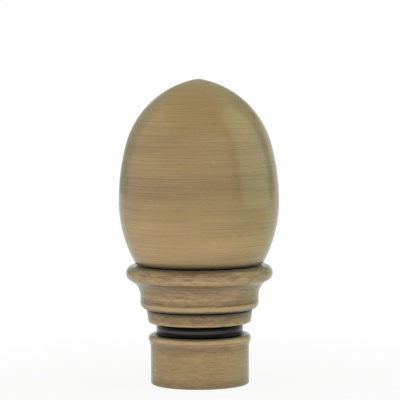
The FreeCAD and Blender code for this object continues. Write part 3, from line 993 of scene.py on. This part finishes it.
        # The countersink's edge: its cone's radius is the hole's + (y - the cone's foot). As y depends on
        # x, it is worked out in a few rounds.
        foot = self.outside - self.countersink
        edge = np.full(len(turn), self.hole_radius + self.countersink)
        for _ in range(8):
            edge = self.hole_radius + np.sqrt(self.outside**2 - (edge * ray[:, 0]) ** 2) - foot
        steps = np.linspace(0, 1, self.hole_rings + 1)[1:, None, None]
        outer = on_cylinder(self.outside, outer_flat * (1 - steps) + ray * edge[:, None] * steps)
        back = steps[::-1]
        inner = on_cylinder(self.bore, inner_flat * (1 - back) + ray * self.hole_radius * back)
        throat = np.stack([inner[0, :, 0], np.full(len(turn), foot), inner[0, :, 2]], axis=1)
        tube = throat + (inner[0] - throat) * np.linspace(0, 1, self.hole_wall_rings + 1)[:-1, None, None]
        loops = np.concatenate([outer, tube, inner])
        tones = [0.0, self.hole_tone, self.bore_tone]
        patina = np.repeat(tones, [len(outer), len(tube), len(inner)])[:, None]
        base = travel[outer_rim].mean() - points[outer_rim][:, 2].mean()
        first_ring = skin.ring_count
        made = skin.add_points(loops[:, :-1], base + loops[:, :-1, 2], patina, Stroke.MIXED.value)
        wrapped = np.hstack([made, made[:, :1]])
        edge_ring, last_ring = len(outer) - 1, len(outer) + len(tube)

        # The windows keep the turned map. The hole's wall lies in the strip at the map's top.
        flat = unrolled(outer, points[outer_rim][:, 2], outer_map[:, 1])
        sheet = np.vstack([outer_rim[None], wrapped[: edge_ring + 1]])
        skin.add_sheet(sheet, np.concatenate([outer_map[None], flat]))
        wall = wrapped[edge_ring : last_ring + 1]
        strip = np.meshgrid(np.linspace(0, 1, wall.shape[1]), np.linspace(*self.map_strip, len(wall)))
        skin.add_sheet(wall, np.stack(strip, axis=2))
        flat = unrolled(inner, points[inner_rim][:, 2], inner_map[:, 1])
        sheet = np.vstack([wrapped[last_ring:], inner_rim[None]])
        skin.add_sheet(sheet, np.concatenate([flat, inner_map[None]]))
        return first_ring + np.array([edge_ring, edge_ring + 1, last_ring])


@dataclass(frozen=True)
class Sheet:
    """A card or a panel of light near the finial, which shows in its reflections only.

    Attributes:
        at: Its middle, in metres.
        toward: The point that it faces, in metres.
        size: Its width and height, in metres.
        colour: The colour of the card or of the light.
        glow: Brightness that a panel adds to the tent's.
        soft: True where a card fades out from its middle to its border.
    """

    name: str
    at: Place
    toward: Place
    size: Point
    colour: str
    glow: float = 0.0
    soft: bool = False


@dataclass
class Studio:
    """A white light tent: a pale floor that fades to white, even cloth, a soft panel, cards and the camera.

    Attributes:
        eye: The camera's place in millimetres.
        aim: The point that it looks at.
        view_deg: The angle that the picture's side takes in.
        roll_deg: How far the camera leans.
        paper: Colour of the floor.
        fade_mm: Distance from the finial's axis over which the floor fades to plain white.
        floor_glow: Share of plain white in the floor next to the finial.
        cloth: Brightness of the tent's cloth, where 1 is white.
        panel: The light that draws a pale stripe down the right of the egg.
        cards: What takes some light out of the finial's reflections.
    """

    eye: Place = (0.37, -784.7, 120.7)
    aim: Place = (0.37, 0.0, 63.5)
    view_deg: float = 10.02
    roll_deg: float = -0.36
    paper: str = "#F4F4F3"
    floor_half_mm: float = 3000.0
    fade_mm: Point = (25.0, 160.0)
    floor_glow: float = 0.88
    cloth: float = 1.0
    panel: Sheet = Sheet("right_panel", (0.75, 0.02, 0.7), (0.0, 0.02, 0.7), (0.8, 1.6), "#E6FFF2", glow=0.8)
    cards: tuple[Sheet, ...] = (
        Sheet("top_flag", (0.0, 0.0, 1.6), (0.0, 0.0, 0.0), (2.4, 2.4), "#E6E2D2"),
        Sheet("right_flag", (1.0, 0.1, 0.9), (0.0, 0.1, 0.9), (2.0, 1.8), "#D4D4D4"),
        Sheet("back_flag", (0.0, 1.1, 0.8), (0.0, 0.0, 0.1), (2.0, 0.9), "#DEDEDE"),
        Sheet("left_flag", (-0.75, 1.0, 0.5), (0.0, 0.0, 0.1), (1.0, 1.4), "#E4EAED"),
        Sheet("floor_cloth", (0.3, -0.03, 0.003), (0.3, -0.03, 1.0), (0.56, 0.56), "#88A0C8", soft=True),
    )

    def make_camera(self) -> None:
        """Places the camera where the photograph was taken from."""
        data = bpy.data.cameras.new("camera")
        data.lens = data.sensor_width / 2 / math.tan(math.radians(self.view_deg) / 2)
        camera = new_object("camera", data)
        eye, aim = Vector(self.eye) * MM, Vector(self.aim) * MM
        turn = (aim - eye).to_track_quat("-Z", "Y").to_matrix().to_4x4()
        lean = Matrix.Rotation(math.radians(self.roll_deg), 4, "Z")
        camera.matrix_world = Matrix.Translation(eye) @ turn @ lean
        bpy.context.scene.camera = camera

    def flat_piece(self, name: str, size: Point, made: Material) -> Object:
        """Makes a flat rectangle that belongs to the stage.

        Args:
            name: The object's name.
            size: Its width and height, in metres.
            made: Its material.

        Returns:
            The rectangle, at the origin and facing up.
        """
        half, tall = size[0] / 2, size[1] / 2
        mesh = bpy.data.meshes.new(name)
        corners = [(-half, -tall, 0.0), (half, -tall, 0.0), (half, tall, 0.0), (-half, tall, 0.0)]
        mesh.from_pydata(corners, [], [(0, 1, 2, 3)])
        mesh.materials.append(made)
        piece = new_object(name, mesh)
        return piece

    def fade(self, tree: NodeTree, reach: Point, values: Point) -> Node:
        """Adds a value that changes smoothly with the distance from an object's middle.

        Args:
            tree: The material's node tree.
            reach: The two distances between which it changes, in metres.
            values: The values there.

        Returns:
            The node that gives the value.
        """
        place = add(tree, "TexCoord").outputs["Object"]
        away = add(tree, "VectorMath", {"Vector": place}, operation="LENGTH")
        span = {"Value": away, **ranges(reach, values)}
        return add(tree, "MapRange", span, interpolation_type="SMOOTHSTEP")

    def make_floor(self) -> None:
        """Lays a matt white floor at the socket's mouth, which fades to plain white away from the finial."""
        made = new_material("matt_white_paper")
        tree = made.node_tree
        glow = self.fade(tree, (self.fade_mm[0] * MM, self.fade_mm[1] * MM), (self.floor_glow, 1.0))
        rays = add(tree, "LightPath").outputs
        seen = rays["Is Camera Ray"]
        for kind in ("Is Glossy Ray", "Is Transmission Ray"):
            seen = add(tree, "Math", {"Value": seen, "Value_001": rays[kind]}, operation="MAXIMUM")
        share = add(tree, "Math", {"Value": seen, "Value_001": glow}, operation="MULTIPLY")
        paper = add(tree, "BsdfDiffuse", {"Color": linear(self.paper)})
        white = add(tree, "Emission", {"Strength": 1.0})
        mixed = add(tree, "MixShader", {"Fac": share, "Shader": paper, "Shader_001": white})
        add(tree, "OutputMaterial", {"Surface": mixed})
        side = 2 * self.floor_half_mm * MM
        self.flat_piece("floor", (side, side), made)

    def make_tent(self) -> None:
        """Makes the tent's cloth: plain white all round, which is also an even soft light on the finial."""
        world = bpy.data.worlds.new("light_tent")
        world.use_nodes = True
        tree = world.node_tree
        tree.nodes.clear()
        cloth = add(tree, "Background", {"Color": linear("#FFFFFF"), "Strength": self.cloth})
        add(tree, "OutputWorld", {"Surface": cloth})
        bpy.context.scene.world = world

    def hang(self, piece: Object, sheet: Sheet) -> None:
        """Hangs a panel or a card in its place, turned toward its point, where the camera does not see it.

        Args:
            piece: The panel or card, which faces along its own -Z.
            sheet: What it is.
        """
        facing = (Vector(sheet.toward) - Vector(sheet.at)).to_track_quat("-Z", "Y").to_matrix().to_4x4()
        piece.matrix_world = Matrix.Translation(Vector(sheet.at)) @ facing
        piece.visible_camera = False

    def make_card(self, sheet: Sheet) -> None:
        """Hangs a felt card.

        Args:
            sheet: The card.
        """
        made = new_material(f"{sheet.name}_felt")
        tree = made.node_tree
        surface = add(tree, "BsdfDiffuse", {"Color": linear(sheet.colour)})
        if sheet.soft:
            share = self.fade(tree, (0.0, sheet.size[0] / 2), (1.0, 0.0))
            clear = add(tree, "BsdfTransparent")
            surface = add(tree, "MixShader", {"Fac": share, "Shader": clear, "Shader_001": surface})
        add(tree, "OutputMaterial", {"Surface": surface})
        self.hang(self.flat_piece(sheet.name, sheet.size, made), sheet)

    def make_panel(self, sheet: Sheet) -> None:
        """Hangs a soft panel of light, which gives off pi * area * glow watts.

        Args:
            sheet: The panel.
        """
        data = bpy.data.lights.new(sheet.name, "AREA")
        data.shape = "RECTANGLE"
        data.size, data.size_y = sheet.size
        data.color = linear(sheet.colour)[:3]
        data.energy = math.pi * data.size * data.size_y * sheet.glow
        self.hang(new_object(sheet.name, data), sheet)

    def build(self) -> None:
        """Sets up the whole studio."""
        bpy.context.scene.view_settings.view_transform = "Standard"
        self.make_camera()
        self.make_floor()
        self.make_tent()
        self.make_panel(self.panel)
        for card in self.cards:
            self.make_card(card)


def main() -> None:
    """Builds the finial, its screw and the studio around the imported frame."""
    logging.basicConfig(level=logging.INFO, format="%(name)s: %(message)s")
    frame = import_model()
    socket = next(m for m in frame["record"]["mounts"] if m["name"] == "pole_socket")
    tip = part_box("finial")[1][2] / MM
    screw_low, screw_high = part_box("grub_screw")
    screw_height = (screw_low[2] + screw_high[2]) / 2 / MM
    finial = Finial(socket["dims"]["r_mm"], tip, screw_height).build(AntiqueBrass(), BlackPatina())
    LOG.info("%s: %d faces", finial.name, len(finial.data.polygons))
    screw = GrubScrew(screw_low[1] / MM, screw_height).build(BlackOxideSteel())
    LOG.info("%s: %d faces", screw.name, len(screw.data.polygons))
    Studio().build()
    LOG.info("studio: camera %s", bpy.context.scene.camera.name)


if __name__ == "__main__":
    main()
